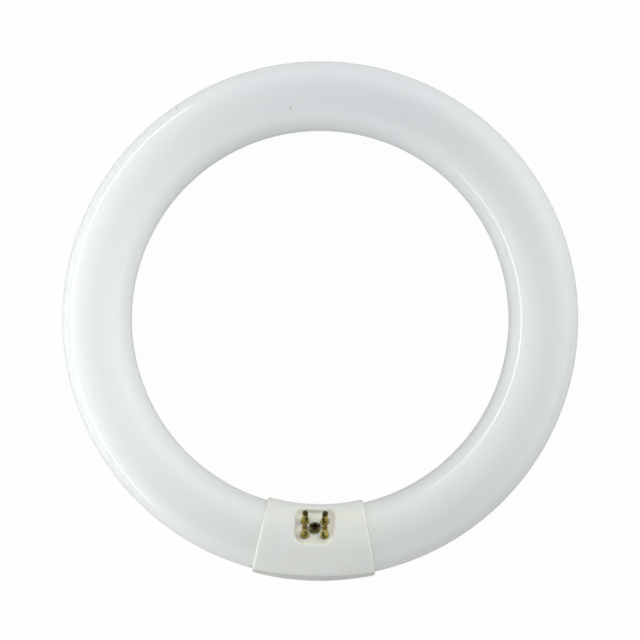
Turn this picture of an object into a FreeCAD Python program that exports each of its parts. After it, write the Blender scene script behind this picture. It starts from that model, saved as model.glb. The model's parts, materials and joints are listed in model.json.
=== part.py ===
# Circular fluorescent lamp: a ring of coated glass tube whose two sealed ends meet in a moulded base.
# The base is two half shells, clamped on the glass by one screw, with four hollow contact pins in a pocket.
# Lengths are in millimetres and angles in degrees. The ring's centre is the origin and Z is the ring's axis,
# with the pins on the +Z side. The base lies at -Y.
import FreeCAD, Part
import math
import os
import Sketcher

# Driving dimensions: name, value and meaning.
DRIVING = (
    ("ring_outer_diameter", "209.6", "across the glass ring"),
    ("tube_diameter", "28", "across the glass tube"),
    ("tube_end_clearance", "1.6", "from each sealed end to the tub that holds the pins"),
    ("shoulder_radius", "5", "rounding of the sealed ends"),
    ("exhaust_tip_diameter", "5", "sealed-off exhaust tip on each end"),
    ("exhaust_tip_length", "4", "how far that tip stands out of its end"),
    ("exhaust_tip_round", "2", "rounding of that tip"),
    ("base_clearance", "0.1", "between the glass and the bore of the base"),
    ("base_wall", "1.3", "wall of the half shells"),
    ("base_length", "45.4", "length of the base at the tube's centre line"),
    ("base_end_lean", "11", "slope of each end of the base to its middle plane"),
    ("base_edge_radius", "0.9", "rounding of the outer edge at each end of the base"),
    ("pin_lean", "39", "pin axis to the ring's axis, leaning to the ring's centre"),
    ("pocket_depth", "4.2", "base's surface to the pocket's floor, on the pin axis"),
    ("pocket_length", "14.8", "pocket's floor along the tube"),
    ("pocket_width", "15.2", "pocket's floor across the tube"),
    ("pocket_corner_radius", "3", "corners of the pocket's floor"),
    ("pocket_draft", "8", "slope of the pocket's walls"),
    ("pocket_rim_radius", "0.8", "rounding of the pocket's rim"),
    ("pocket_wall", "1.6", "wall of the tub round the pocket"),
    ("pocket_floor_thickness", "2", "floor of the pocket"),
    ("pin_spacing_along", "7.92", "between pins along the tube"),
    ("pin_spacing_across", "6.35", "between pins across the tube"),
    ("pin_diameter", "2.3", "barrel of a pin"),
    ("pin_length", "7.4", "pocket's floor to the tip of a pin"),
    ("pin_collar_diameter", "3.5", "collar that seats on the pocket's floor"),
    ("pin_collar_height", "1.2", "height of that collar"),
    ("pin_collar_round", "0.4", "rounding of the collar's edge"),
    ("pin_waist_depth", "0.2", "depth of the crimped waist below the tip"),
    ("pin_waist_length", "1.1", "length of that waist with its slopes"),
    ("pin_head_length", "1.6", "rounded head above the waist"),
    ("pin_tail_lip", "0.35", "flare that rivets the pin under the floor"),
    ("pin_tail_height", "0.5", "height of that flare"),
    ("pin_bore_diameter", "1.2", "bore that takes the lead wire"),
    ("pin_cap_thickness", "0.9", "closed end of the pin above its bore"),
    ("pin_hole_clearance", "0.03", "round a pin in its hole"),
    ("screw_head_diameter", "5", "head of the base screw"),
    ("screw_head_height", "1.7", "height of that head"),
    ("screw_rim_height", "0.6", "upright edge of that head"),
    ("screw_shank_diameter", "2.3", "core of the shank, without its thread"),
    ("screw_length", "14", "shank under the head"),
    ("screw_point_length", "1.2", "tapered point of the shank"),
    ("screw_hole_clearance", "0.15", "round the shank in the pocket's floor"),
    ("recess_length", "2.9", "each arm to arm of the cross recess"),
    ("recess_width", "0.75", "width of an arm of the recess"),
    ("recess_depth", "1", "depth of the recess"),
    ("boss_diameter", "5.2", "screw boss of the back shell"),
    ("boss_gap", "0.2", "boss to the underside of the pocket's floor"),
    ("boss_rib_length", "12", "two ribs of the boss, end to end"),
    ("boss_rib_thickness", "1.2", "thickness of those ribs"),
    ("boss_rib_clearance", "1.5", "ribs to the exhaust tips above them"),
    ("pilot_clearance", "0.03", "round the shank in the boss"),
    ("pilot_spare", "1", "free depth under the screw's point"),
    ("wire_diameter", "0.7", "lead wire"),
    ("wire_drop", "7", "flare of a pin to the level run of its wire"),
    ("wire_bend_radius", "3.5", "bend between the level run and the pin"),
    ("wire_seal_depth", "1.2", "lead wire in the sealed end, on the centre line"),
    ("wire_clearance", "0.03", "round a wire in the glass and in its pin's waist"),
    ("wire_headroom", "0.3", "end of a wire to the end of its bore"),
)

# Dimensions that follow from the driving ones.
DERIVED = (
    ("ring_radius", "=(ring_outer_diameter - tube_diameter) / 2", "ring's axis to the tube's centre line"),
    ("tube_radius", "=tube_diameter / 2", "outside of the glass"),
    ("base_bore_radius", "=tube_radius + base_clearance", "inside of the base"),
    ("base_radius", "=base_bore_radius + base_wall", "outside of the base"),
    ("trim_reach", "=2 * base_radius", "reach of the cuts that shape the base"),
    ("sleeve_sweep", "=3 * asin(base_length / 2 / (ring_radius - base_radius)) / 1 deg", "uncut sleeve"),
    ("floor_height", "=base_radius - pocket_depth", "tube's axis to the pocket's floor"),
    ("underside_height", "=floor_height - pocket_floor_thickness", "tube's axis to the floor's underside"),
    ("tub_length", "=pocket_length + 2 * pocket_wall", "tub along the tube"),
    ("tub_width", "=pocket_width + 2 * pocket_wall", "tub across the tube"),
    ("tub_corner_radius", "=pocket_corner_radius + pocket_wall", "corners of the tub"),
    ("half_gap", "=tub_length / 2 + tube_end_clearance", "middle of the base to a sealed end"),
    ("half_tip_gap", "=half_gap - exhaust_tip_length", "middle of the base to an exhaust tip"),
    ("gap_sweep", "=2 * asin(half_gap / ring_radius) / 1 deg", "angle between the sealed ends"),
    ("tip_sweep", "=2 * asin(half_tip_gap / ring_radius) / 1 deg", "angle between the exhaust tips"),
    ("boss_top_height", "=underside_height - boss_gap", "tube's axis to the top of the boss"),
    ("boss_rib_drop", "=exhaust_tip_diameter / 2 + boss_rib_clearance", "tube's axis down to the ribs"),
    ("boss_root_depth", "=base_bore_radius + base_wall / 2", "tube's axis down to the root of the boss"),
    ("wire_height", "=underside_height - pin_tail_height - wire_drop", "tube's axis to the level runs"),
    ("wire_start", "=half_gap + wire_seal_depth", "middle of the base to the start of a wire"),
)

PIN_SIDES = {"left": -1, "right": 1}
PIN_ROWS = {"inner": 1, "outer": -1}
START, END, CENTRE = range(1, 4)
ORIGIN_POINT = (-1, START)
ACROSS_AXIS, ALONG_AXIS = range(-2, 0)
UP = FreeCAD.Vector(0, 0, 1)
LEAN_AXIS = FreeCAD.Vector(-1, 0, 0)
ON_SURFACE = 1e-4
EDGE_SAMPLES = 7

doc = FreeCAD.newDocument("CircularLamp")
sheet = doc.addObject("Spreadsheet::Sheet", "Sizes")
for row, (name, content, meaning) in enumerate(DRIVING + DERIVED, start=1):
    sheet.set(f"A{row}", name)
    sheet.set(f"B{row}", content)
    sheet.set(f"C{row}", meaning)
    sheet.setAlias(f"B{row}", name)
doc.recompute()


def size(formula):
    """Work out a formula on the sheet's names."""
    return float(sheet.evalExpression(formula))


def seat(thing, prop, along="0", across="0", height="0"):
    """Bind a placement to the base: along the tube, across it, and up the pin axis from the tube's axis."""
    leaning = FreeCAD.Rotation(LEAN_AXIS, size("Sizes.pin_lean"))
    setattr(thing, prop, FreeCAD.Placement(FreeCAD.Vector(), leaning))
    inwards = f"({across}) * cos(Sizes.pin_lean) + ({height}) * sin(Sizes.pin_lean)"
    upwards = f"({height}) * cos(Sizes.pin_lean) - ({across}) * sin(Sizes.pin_lean)"
    thing.setExpression(f"{prop}.Base.x", along)
    thing.setExpression(f"{prop}.Base.y", f"{inwards} - Sizes.ring_radius")
    thing.setExpression(f"{prop}.Base.z", upwards)
    thing.setExpression(f"{prop}.Rotation.Angle", "Sizes.pin_lean")


def new_body(label):
    """Start a sub-part."""
    body = doc.addObject("PartDesign::Body", label)
    body.Label = label
    return body


def sketch_on(body, name, role):
    """Add an empty sketch on one of the body's own origin planes."""
    sketch = body.newObject("Sketcher::SketchObject", name)
    plane = next(feature for feature in body.Origin.OriginFeatures if feature.Role == role)
    sketch.AttachmentSupport = [(plane, "")]
    sketch.MapMode = "FlatFace"
    return sketch


def sketch_across_pins(body, name, height):
    """Add an empty sketch square to the pin axis, at a height up that axis from the tube's axis."""
    sketch = sketch_on(body, name, "XY_Plane")
    seat(sketch, "AttachmentOffset", height=height)
    return sketch


def hold(sketch, index, end, across, along):
    """Hold a point of a sketch at two formulas, measured from the sketch's origin."""
    for kind, formula, axis in (("DistanceX", across, ACROSS_AXIS), ("DistanceY", along, ALONG_AXIS)):
        if formula == "0":
            sketch.addConstraint(Sketcher.Constraint("PointOnObject", index, end, axis))
            continue
        rule = Sketcher.Constraint(kind, *ORIGIN_POINT, index, end, size(formula))
        number = sketch.addConstraint(rule)
        sketch.setExpression(f"Constraints[{number}]", formula)


def hold_radius(sketch, index, formula):
    """Hold the radius of a circle or arc at a formula."""
    number = sketch.addConstraint(Sketcher.Constraint("Radius", index, size(formula)))
    sketch.setExpression(f"Constraints[{number}]", formula)


def draw_circle(sketch, across, along, radius):
    """Draw a circle whose centre and radius are formulas."""
    centre = FreeCAD.Vector(size(across), size(along))
    index = sketch.addGeometry(Part.Circle(centre, UP, size(radius)))
    hold(sketch, index, CENTRE, across, along)
    hold_radius(sketch, index, radius)


def arc_between(start, end, radius):
    """Give the arc that turns left from one point to the next."""
    chord = end - start
    leftwards = FreeCAD.Vector(-chord.y, chord.x).normalize()
    reach = math.sqrt(max(radius**2 - (chord.Length / 2) ** 2, 0))
    centre = (start + end) / 2 + leftwards * reach
    first = math.atan2(start.y - centre.y, start.x - centre.x)
    last = math.atan2(end.y - centre.y, end.x - centre.x)
    return Part.ArcOfCircle(Part.Circle(centre, UP, radius), first, last)


def draw_outline(sketch, corners):
    """Draw a closed outline. A third formula at a corner is the radius of an arc from it, turning left."""
    points = [FreeCAD.Vector(size(across), size(along)) for across, along, *_ in corners]
    first = sketch.GeometryCount
    following = [*range(1, len(points)), 0]
    for start, after, (_, _, *radius) in zip(points, following, corners):
        end = points[after]
        sketch.addGeometry(arc_between(start, end, size(*radius)) if radius else Part.LineSegment(start, end))
    for side, after in enumerate(following):
        sketch.addConstraint(Sketcher.Constraint("Coincident", first + side, END, first + after, START))
    for side, (across, along, *radius) in enumerate(corners):
        hold(sketch, first + side, START, across, along)
        if radius:
            hold_radius(sketch, first + side, *radius)


def draw_rectangle(sketch, length, width):
    """Draw a rectangle about the sketch's origin."""
    far_x, far_y = f"({length}) / 2", f"({width}) / 2"
    corners = ((f"-{far_x}", f"-{far_y}"), (far_x, f"-{far_y}"), (far_x, far_y), (f"-{far_x}", far_y))
    draw_outline(sketch, corners)


def draw_rounded_rectangle(sketch, length, width, radius):
    """Draw a rectangle with round corners about the sketch's origin."""
    far_x, far_y = f"({length}) / 2", f"({width}) / 2"
    near_x, near_y = f"{far_x} - ({radius})", f"{far_y} - ({radius})"
    corners = (
        (f"-({near_x})", f"-({far_y})"),
        (near_x, f"-({far_y})", radius),
        (far_x, f"-({near_y})"),
        (far_x, near_y, radius),
        (near_x, far_y),
        (f"-({near_x})", far_y, radius),
        (f"-({far_x})", near_y),
        (f"-({far_x})", f"-({near_y})", radius),
    )
    draw_outline(sketch, corners)


def add_feature(body, kind, name, sketch, plain=None, bound=None):
    """Add a feature made from a sketch, with its plain settings and its bound sizes."""
    before = body.Shape.Volume if body.Tip else 0
    feature = body.newObject(f"PartDesign::{kind}", name)
    feature.Profile = sketch
    for prop, setting in (plain or {}).items():
        setattr(feature, prop, setting)
    for prop, formula in (bound or {}).items():
        feature.setExpression(prop, formula)
    body.Tip = feature
    doc.recompute()
    grows = kind in ("Pad", "Revolution", "AdditivePipe")
    after = body.Shape.Volume
    if after <= before if grows else after >= before:
        raise RuntimeError(f"{body.Label}: {name} changes nothing")
    return feature


def turn(body, kind, name, sketch, sweep):
    """Revolve a sketch on the upright axis of its plane, evenly to both sides."""
    plain = {"ReferenceAxis": (sketch, ["V_Axis"]), "Midplane": True}
    return add_feature(body, kind, name, sketch, plain, {"Angle": sweep})


def add_fillet(body, name, radius, chosen):
    """Round every edge of the body whose sampled points all meet a test."""
    base = body.Tip
    names = []
    for number, edge in enumerate(base.Shape.Edges, start=1):
        if all(chosen(point) for point in edge.discretize(EDGE_SAMPLES)):
            names.append(f"Edge{number}")
    if not names:
        raise RuntimeError(f"{body.Label}: {name} finds no edge")
    fillet = body.newObject("PartDesign::Fillet", name)
    fillet.Base = (base, names)
    fillet.setExpression("Radius", radius)
    body.Tip = fillet
    doc.recompute()


def from_centre_line(point):
    """Distance from a point to the circle on which the tube's centre line lies."""
    out = math.hypot(point.x, point.y) - size("Sizes.ring_radius")
    return math.hypot(out, point.z)


def past_end(point):
    """Distance of a point past the nearer end plane of the base, negative inside it."""
    lean = math.radians(size("Sizes.base_end_lean"))
    outwards = -point.y - size("Sizes.ring_radius")
    half = size("Sizes.base_length / 2") + outwards * math.tan(lean)
    return abs(point.x) - half


def on_base_skin(point):
    """Tell whether a point lies on the outer surface of the base."""
    return abs(from_centre_line(point) - size("Sizes.base_radius")) < ON_SURFACE


def rim_test(sweep, radius):
    """Give a test for points on the sharp rims at both ends of a ring that leaves a gap of this sweep."""

    def on_rim(point):
        """Tell whether a point lies on one of those rims."""
        bearing = abs(math.degrees(math.atan2(point.x, -point.y)))
        on_ring = abs(from_centre_line(point) - size(radius)) < ON_SURFACE
        return on_ring and abs(bearing - size(sweep) / 2) < ON_SURFACE

    return on_rim


def build_glass_tube():
    """One ring of glass with rounded, sealed ends and an exhaust tip on each."""
    body = new_body("glass_tube")
    ring = sketch_on(body, "tube_section", "YZ_Plane")
    draw_circle(ring, "Sizes.ring_radius", "0", "Sizes.tube_radius")
    turn(body, "Revolution", "tube_ring", ring, "360 - Sizes.gap_sweep")
    end_rims = rim_test("Sizes.gap_sweep", "Sizes.tube_radius")
    add_fillet(body, "end_shoulders", "Sizes.shoulder_radius", end_rims)
    tips = sketch_on(body, "tip_section", "YZ_Plane")
    draw_circle(tips, "Sizes.ring_radius", "0", "Sizes.exhaust_tip_diameter / 2")
    turn(body, "Revolution", "exhaust_tips", tips, "360 - Sizes.tip_sweep")
    tip_rims = rim_test("Sizes.tip_sweep", "Sizes.exhaust_tip_diameter / 2")
    add_fillet(body, "tip_rounds", "Sizes.exhaust_tip_round", tip_rims)
    seals = sketch_on(body, "wire_seals", "YZ_Plane")
    for row in PIN_ROWS.values():
        across = f"{row} * Sizes.pin_spacing_across / 2"
        inwards = f"({across}) * cos(Sizes.pin_lean) + Sizes.wire_height * sin(Sizes.pin_lean)"
        upwards = f"Sizes.wire_height * cos(Sizes.pin_lean) - ({across}) * sin(Sizes.pin_lean)"
        radius = "Sizes.wire_diameter / 2 + Sizes.wire_clearance"
        draw_circle(seals, f"{inwards} - Sizes.ring_radius", upwards, radius)
    add_feature(
        body,
        "Pocket",
        "wire_seal_holes",
        seals,
        {"SideType": "Symmetric"},
        {"Length": "2 * (Sizes.wire_start + Sizes.wire_clearance)"},
    )
    return body


def build_half_sleeve(label, pin_side):
    """Start a half shell: a sleeve on the tube, cut to length and split square to the pins."""
    body = new_body(label)
    section = sketch_on(body, "sleeve_section", "YZ_Plane")
    draw_circle(section, "-Sizes.ring_radius", "0", "Sizes.base_radius")
    draw_circle(section, "-Sizes.ring_radius", "0", "Sizes.base_bore_radius")
    turn(body, "Revolution", "sleeve", section, "Sizes.sleeve_sweep")
    ends = sketch_on(body, "end_planes", "XY_Plane")
    slope = "Sizes.trim_reach * tan(Sizes.base_end_lean)"
    for side in PIN_SIDES.values():
        outer_x = f"{side} * (Sizes.base_length / 2 + {slope})"
        inner_x = f"{side} * (Sizes.base_length / 2 - {slope})"
        far_x = f"{side} * 2 * Sizes.base_length"
        outer_y = "-Sizes.ring_radius - Sizes.trim_reach"
        inner_y = "-Sizes.ring_radius + Sizes.trim_reach"
        draw_outline(ends, ((outer_x, outer_y), (far_x, outer_y), (far_x, inner_y), (inner_x, inner_y)))
    both_ways = {"SideType": "Symmetric"}
    add_feature(body, "Pocket", "end_trim", ends, both_ways, {"Length": "2 * Sizes.trim_reach"})
    parting = sketch_across_pins(body, "parting_plane", "0")
    draw_rectangle(parting, "2 * Sizes.base_length", "2 * Sizes.trim_reach")
    away = {"Reversed": not pin_side}
    add_feature(body, "Pocket", "parting", parting, away, {"Length": "Sizes.trim_reach"})
    return body


def round_ends(body):
    """Round the outer edge at both ends of a half shell."""
    add_fillet(
        body,
        "end_rounds",
        "Sizes.base_edge_radius",
        lambda point: on_base_skin(point) and abs(past_end(point)) < ON_SURFACE,
    )


def build_front_shell():
    """Half of the base on the pin side: the pocket with its tub, pin holes and screw hole."""
    body = build_half_sleeve("base_front_shell", pin_side=True)
    tub = sketch_across_pins(body, "tub_outline", "Sizes.underside_height")
    draw_rounded_rectangle(tub, "Sizes.tub_length", "Sizes.tub_width", "Sizes.tub_corner_radius")
    tub_height = "Sizes.base_radius - Sizes.underside_height + Sizes.base_wall"
    add_feature(body, "Pad", "tub", tub, bound={"Length": tub_height})
    skin = sketch_on(body, "skin_section", "YZ_Plane")
    draw_circle(skin, "-Sizes.ring_radius", "0", "Sizes.base_radius + Sizes.trim_reach / 2")
    draw_circle(skin, "-Sizes.ring_radius", "0", "Sizes.base_radius")
    turn(body, "Groove", "tub_trim", skin, "Sizes.sleeve_sweep")
    floor = sketch_across_pins(body, "pocket_outline", "Sizes.floor_height")
    draw_rounded_rectangle(floor, "Sizes.pocket_length", "Sizes.pocket_width", "Sizes.pocket_corner_radius")
    add_feature(
        body,
        "Pocket",
        "pin_pocket",
        floor,
        {"Reversed": True},
        {"Length": "Sizes.pocket_depth + Sizes.base_wall", "TaperAngle": "Sizes.pocket_draft"},
    )
    add_fillet(
        body,
        "pocket_rim",
        "Sizes.pocket_rim_radius",
        lambda point: on_base_skin(point) and abs(point.x) < size("Sizes.tub_length / 2") and point.z > 0,
    )
    round_ends(body)
    holes = sketch_across_pins(body, "floor_holes", "Sizes.floor_height")
    for side in PIN_SIDES.values():
        for row in PIN_ROWS.values():
            along = f"{side} * Sizes.pin_spacing_along / 2"
            across = f"{row} * Sizes.pin_spacing_across / 2"
            draw_circle(holes, along, across, "Sizes.pin_diameter / 2 + Sizes.pin_hole_clearance")
    draw_circle(holes, "0", "0", "Sizes.screw_shank_diameter / 2 + Sizes.screw_hole_clearance")
    add_feature(body, "Pocket", "floor_openings", holes, bound={"Length": "2 * Sizes.pocket_floor_thickness"})
    return body


def build_back_shell():
    """The other half of the base: a plain skin outside, the screw boss with its two ribs inside."""
    body = build_half_sleeve("base_back_shell", pin_side=False)
    round_ends(body)
    boss = sketch_across_pins(body, "boss_outline", "Sizes.boss_top_height")
    draw_circle(boss, "0", "0", "Sizes.boss_diameter / 2")
    to_root = "Sizes.boss_top_height + Sizes.boss_root_depth"
    add_feature(body, "Pad", "screw_boss", boss, {"Reversed": True}, {"Length": to_root})
    ribs = sketch_across_pins(body, "rib_outline", "-Sizes.boss_rib_drop")
    draw_rectangle(ribs, "Sizes.boss_rib_length", "Sizes.boss_rib_thickness")
    rib_height = "Sizes.boss_root_depth - Sizes.boss_rib_drop"
    add_feature(body, "Pad", "boss_ribs", ribs, {"Reversed": True}, {"Length": rib_height})
    pilot = sketch_across_pins(body, "pilot_outline", "Sizes.boss_top_height")
    draw_circle(pilot, "0", "0", "Sizes.screw_shank_diameter / 2 + Sizes.pilot_clearance")
    reach = "Sizes.screw_length - Sizes.pocket_floor_thickness - Sizes.boss_gap + Sizes.pilot_spare"
    add_feature(body, "Pocket", "pilot_hole", pilot, bound={"Length": reach})
    return body


def build_contact_pin(side, row):
    """A hollow brass pin: riveted tail, collar, barrel, waist crimped on the wire and rounded head."""
    body = new_body(f"contact_pin_{row}_{side}")
    section = sketch_on(body, "pin_section", "XZ_Plane")
    barrel = "Sizes.pin_diameter / 2"
    bore = "Sizes.pin_bore_diameter / 2"
    grip = "Sizes.wire_diameter / 2 + Sizes.wire_clearance"
    collar = "Sizes.pin_collar_diameter / 2"
    waist = "Sizes.pin_diameter / 2 - Sizes.pin_waist_depth"
    tail = "Sizes.pin_diameter / 2 + Sizes.pin_tail_lip"
    underside = "-Sizes.pocket_floor_thickness"
    tail_end = "-Sizes.pocket_floor_thickness - Sizes.pin_tail_height"
    head = "Sizes.pin_length - Sizes.pin_head_length"
    waist_low = f"{head} - Sizes.pin_waist_length"
    corners = (
        (bore, tail_end),
        (tail, tail_end),
        (tail, underside),
        (barrel, underside),
        (barrel, "0"),
        (collar, "0"),
        (collar, "Sizes.pin_collar_height - Sizes.pin_collar_round", "Sizes.pin_collar_round"),
        (f"{collar} - Sizes.pin_collar_round", "Sizes.pin_collar_height"),
        (barrel, "Sizes.pin_collar_height"),
        (barrel, waist_low),
        (waist, f"{waist_low} + Sizes.pin_waist_depth"),
        (waist, f"{head} - Sizes.pin_waist_depth"),
        (barrel, head),
        (barrel, f"Sizes.pin_length - {barrel}", barrel),
        ("0", "Sizes.pin_length"),
        ("0", "Sizes.pin_length - Sizes.pin_cap_thickness"),
        (grip, "Sizes.pin_length - Sizes.pin_cap_thickness"),
        (grip, f"{waist_low} + Sizes.pin_waist_depth"),
        (bore, waist_low),
    )
    draw_outline(section, corners)
    turn(body, "Revolution", "pin", section, "360")
    along = f"{PIN_SIDES[side]} * Sizes.pin_spacing_along / 2"
    across = f"{PIN_ROWS[row]} * Sizes.pin_spacing_across / 2"
    seat(body, "Placement", along, across, "Sizes.floor_height")
    return body


def build_base_screw():
    """The pan-head screw with a cross recess that pulls the two shells together."""
    body = new_body("base_screw")
    section = sketch_on(body, "screw_section", "XZ_Plane")
    shank = "Sizes.screw_shank_diameter / 2"
    head = "Sizes.screw_head_diameter / 2"
    crown = "(Sizes.screw_head_height - Sizes.screw_rim_height)"
    dome = f"(({head}) ^ 2 + {crown} ^ 2) / (2 * {crown})"
    corners = (
        ("0", "-Sizes.screw_length"),
        (shank, "-Sizes.screw_length + Sizes.screw_point_length"),
        (shank, "0"),
        (head, "0"),
        (head, "Sizes.screw_rim_height", dome),
        ("0", "Sizes.screw_head_height"),
    )
    draw_outline(section, corners)
    turn(body, "Revolution", "screw", section, "360")
    cross = sketch_on(body, "recess_outline", "XY_Plane")
    cross.setExpression("AttachmentOffset.Base.z", "Sizes.screw_head_height")
    arm, half = "Sizes.recess_length / 2", "Sizes.recess_width / 2"
    corners = (
        (arm, f"-{half}"),
        (arm, half),
        (half, half),
        (half, arm),
        (f"-{half}", arm),
        (f"-{half}", half),
        (f"-{arm}", half),
        (f"-{arm}", f"-{half}"),
        (f"-{half}", f"-{half}"),
        (f"-{half}", f"-{arm}"),
        (half, f"-{arm}"),
        (half, f"-{half}"),
    )
    draw_outline(cross, corners)
    add_feature(body, "Pocket", "cross_recess", cross, bound={"Length": "Sizes.recess_depth"})
    seat(body, "Placement", height="Sizes.floor_height")
    return body


def build_lead_wire(side, row):
    """A wire from its seal in the glass, level along the tube, then up into the bore of its pin."""
    body = new_body(f"lead_wire_{row}_{side}")
    sign = PIN_SIDES[side]
    start_x = f"{sign} * Sizes.wire_start"
    bend_x = f"{sign} * (Sizes.pin_spacing_along / 2 + Sizes.wire_bend_radius)"
    pin_x = f"{sign} * Sizes.pin_spacing_along / 2"
    level = "Sizes.wire_height"
    bend_top = "Sizes.wire_height + Sizes.wire_bend_radius"
    bore_end = "Sizes.floor_height + Sizes.pin_length - Sizes.pin_cap_thickness - Sizes.wire_headroom"
    start, bend = FreeCAD.Vector(size(start_x), size(level)), FreeCAD.Vector(size(bend_x), size(level))
    rise, top = FreeCAD.Vector(size(pin_x), size(bend_top)), FreeCAD.Vector(size(pin_x), size(bore_end))
    route = sketch_on(body, "wire_route", "XZ_Plane")
    run = route.addGeometry(Part.LineSegment(start, bend))
    ends = (rise, bend) if sign > 0 else (bend, rise)
    turned = route.addGeometry(arc_between(*ends, size("Sizes.wire_bend_radius")))
    lift = route.addGeometry(Part.LineSegment(rise, top))
    bend_end, rise_end = (END, START) if sign > 0 else (START, END)
    route.addConstraint(Sketcher.Constraint("Coincident", run, END, turned, bend_end))
    route.addConstraint(Sketcher.Constraint("Coincident", turned, rise_end, lift, START))
    hold(route, run, START, start_x, level)
    hold(route, run, END, bend_x, level)
    hold(route, lift, START, pin_x, bend_top)
    hold(route, lift, END, pin_x, bore_end)
    hold_radius(route, turned, "Sizes.wire_bend_radius")
    section = sketch_on(body, "wire_section", "YZ_Plane")
    section.setExpression("AttachmentOffset.Base.z", start_x)
    draw_circle(section, "0", level, "Sizes.wire_diameter / 2")
    doc.recompute()
    add_feature(body, "AdditivePipe", "wire", section, {"Spine": (route, ["Edge1", "Edge2", "Edge3"])})
    across = f"{PIN_ROWS[row]} * Sizes.pin_spacing_across / 2"
    seat(body, "Placement", across=across)
    return body


sub_parts = [build_glass_tube(), build_front_shell(), build_back_shell(), build_base_screw()]
for pin_row in PIN_ROWS:
    for pin_side in PIN_SIDES:
        sub_parts.append(build_contact_pin(pin_side, pin_row))
        sub_parts.append(build_lead_wire(pin_side, pin_row))
doc.recompute()

for item in doc.Objects:
    if "Invalid" in item.State or "Error" in item.State:
        raise RuntimeError(f"{item.Label} is {item.State}")
for sub_part in sub_parts:
    if sub_part.Shape.isNull() or not sub_part.Shape.isValid() or len(sub_part.Shape.Solids) != 1:
        raise RuntimeError(f"{sub_part.Label} is not one valid solid")

os.makedirs("parts", exist_ok=True)
for sub_part in sub_parts:
    sub_part.Shape.exportStep(os.path.join("parts", f"{sub_part.Label}.step"))
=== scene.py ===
"""Looks of a circular fluorescent lamp.

A ring of white-coated glass tube, the moulded base that holds its sealed ends, the contact pins in the base's
pocket and the screw between them. Lengths are in metres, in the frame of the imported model: Z is the ring's
axis, with the pins on the +Z side, and the base lies at -Y.
"""

import json
import logging
import math
from dataclasses import dataclass
from enum import Enum
from typing import Any

import bpy
import numpy as np
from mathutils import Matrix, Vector

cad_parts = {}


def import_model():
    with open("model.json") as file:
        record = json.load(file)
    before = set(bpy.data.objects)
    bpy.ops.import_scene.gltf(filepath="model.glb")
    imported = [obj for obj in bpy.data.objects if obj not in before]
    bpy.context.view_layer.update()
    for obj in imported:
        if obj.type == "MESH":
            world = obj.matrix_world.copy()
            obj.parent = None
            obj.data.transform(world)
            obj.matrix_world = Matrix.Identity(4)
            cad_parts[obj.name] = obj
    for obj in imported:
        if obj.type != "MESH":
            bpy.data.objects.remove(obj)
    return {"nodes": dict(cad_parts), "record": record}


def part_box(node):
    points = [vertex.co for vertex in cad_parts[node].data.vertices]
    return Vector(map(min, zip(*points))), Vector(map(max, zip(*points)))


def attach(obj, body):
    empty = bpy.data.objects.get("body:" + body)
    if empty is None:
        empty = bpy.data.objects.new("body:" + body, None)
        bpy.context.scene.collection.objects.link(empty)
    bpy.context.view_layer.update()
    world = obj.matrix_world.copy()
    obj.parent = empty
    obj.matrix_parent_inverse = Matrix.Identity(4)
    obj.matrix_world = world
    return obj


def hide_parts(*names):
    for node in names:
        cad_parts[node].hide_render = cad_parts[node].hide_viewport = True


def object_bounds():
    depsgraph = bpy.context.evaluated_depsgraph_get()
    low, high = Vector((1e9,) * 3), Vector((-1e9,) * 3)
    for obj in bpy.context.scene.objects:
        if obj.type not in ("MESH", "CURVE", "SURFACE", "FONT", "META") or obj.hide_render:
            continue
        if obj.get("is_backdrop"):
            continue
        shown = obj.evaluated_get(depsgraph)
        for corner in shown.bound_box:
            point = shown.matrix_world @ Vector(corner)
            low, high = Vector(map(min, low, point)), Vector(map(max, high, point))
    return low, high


log = logging.getLogger("circular_lamp")

MM = 0.001
BODY = "root"
SHARP_ANGLE = math.radians(40)
SETTLING_ROUNDS = 8

Colour = tuple[float, float, float]
Point = tuple[float, float, float]
Pair = tuple[float, float]
Values = float | np.ndarray

# Sockets of a Mix node that mixes colours.
MIX_SHARE, MIX_FIRST, MIX_SECOND, MIX_RESULT = 0, 6, 7, 2


class Side(Enum):
    """Sides of the base, as signs along X."""

    LEFT = -1
    RIGHT = 1


class Row(Enum):
    """Rows of pins, as signs across the tube towards the ring's centre."""

    INNER = 1
    OUTER = -1


class Half(Enum):
    """Halves of the base, as signs along the pins."""

    FRONT = 1
    BACK = -1


def corner_name(row: Row, side: Side) -> str:
    """Name a corner of the pins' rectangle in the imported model's way."""
    return f"{row.name}_{side.name}".lower()


def ease(share: np.ndarray) -> np.ndarray:
    """Ease a share from 0 to 1 by 3 t squared less 2 t cubed, held at both ends."""
    held = np.clip(share, 0.0, 1.0)
    return held * held * (3.0 - 2.0 * held)


def full_turn(count: int) -> np.ndarray:
    """Give evenly spaced angles from 0 up to a full turn, which is left out."""
    return np.linspace(0, 2 * math.pi, count, endpoint=False)


def arc(centre: Pair, radius: float, start: float, stop: float, count: int) -> np.ndarray:
    """Give points of a circular arc in a profile's plane.

    Args:
        centre: Distance from the axis and height of the arc's centre.
        radius: Radius of the arc.
        start: First angle in degrees, from the outward direction towards up.
        stop: Last angle in degrees.
        count: Number of points, both ends included.

    Returns:
        Pairs of distance and height, shaped (count, 2).
    """
    angle = np.radians(np.linspace(start, stop, count))
    return np.stack([centre[0] + radius * np.cos(angle), centre[1] + radius * np.sin(angle)], axis=-1)


def box_loop(per_side: int) -> np.ndarray:
    """Give the edge of the square from -1 to 1 as a loop that turns left, with evenly spaced points.

    Args:
        per_side: Number of points on each side.

    Returns:
        Points of the loop, shaped (4 * per_side, 2).
    """
    run = np.linspace(-1.0, 1.0, per_side, endpoint=False)
    side = np.stack([run, np.full(per_side, -1.0)], axis=-1)
    turn = np.array([[0.0, 1.0], [-1.0, 0.0]])
    return np.concatenate([side @ np.linalg.matrix_power(turn, quarter) for quarter in range(4)])


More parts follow.
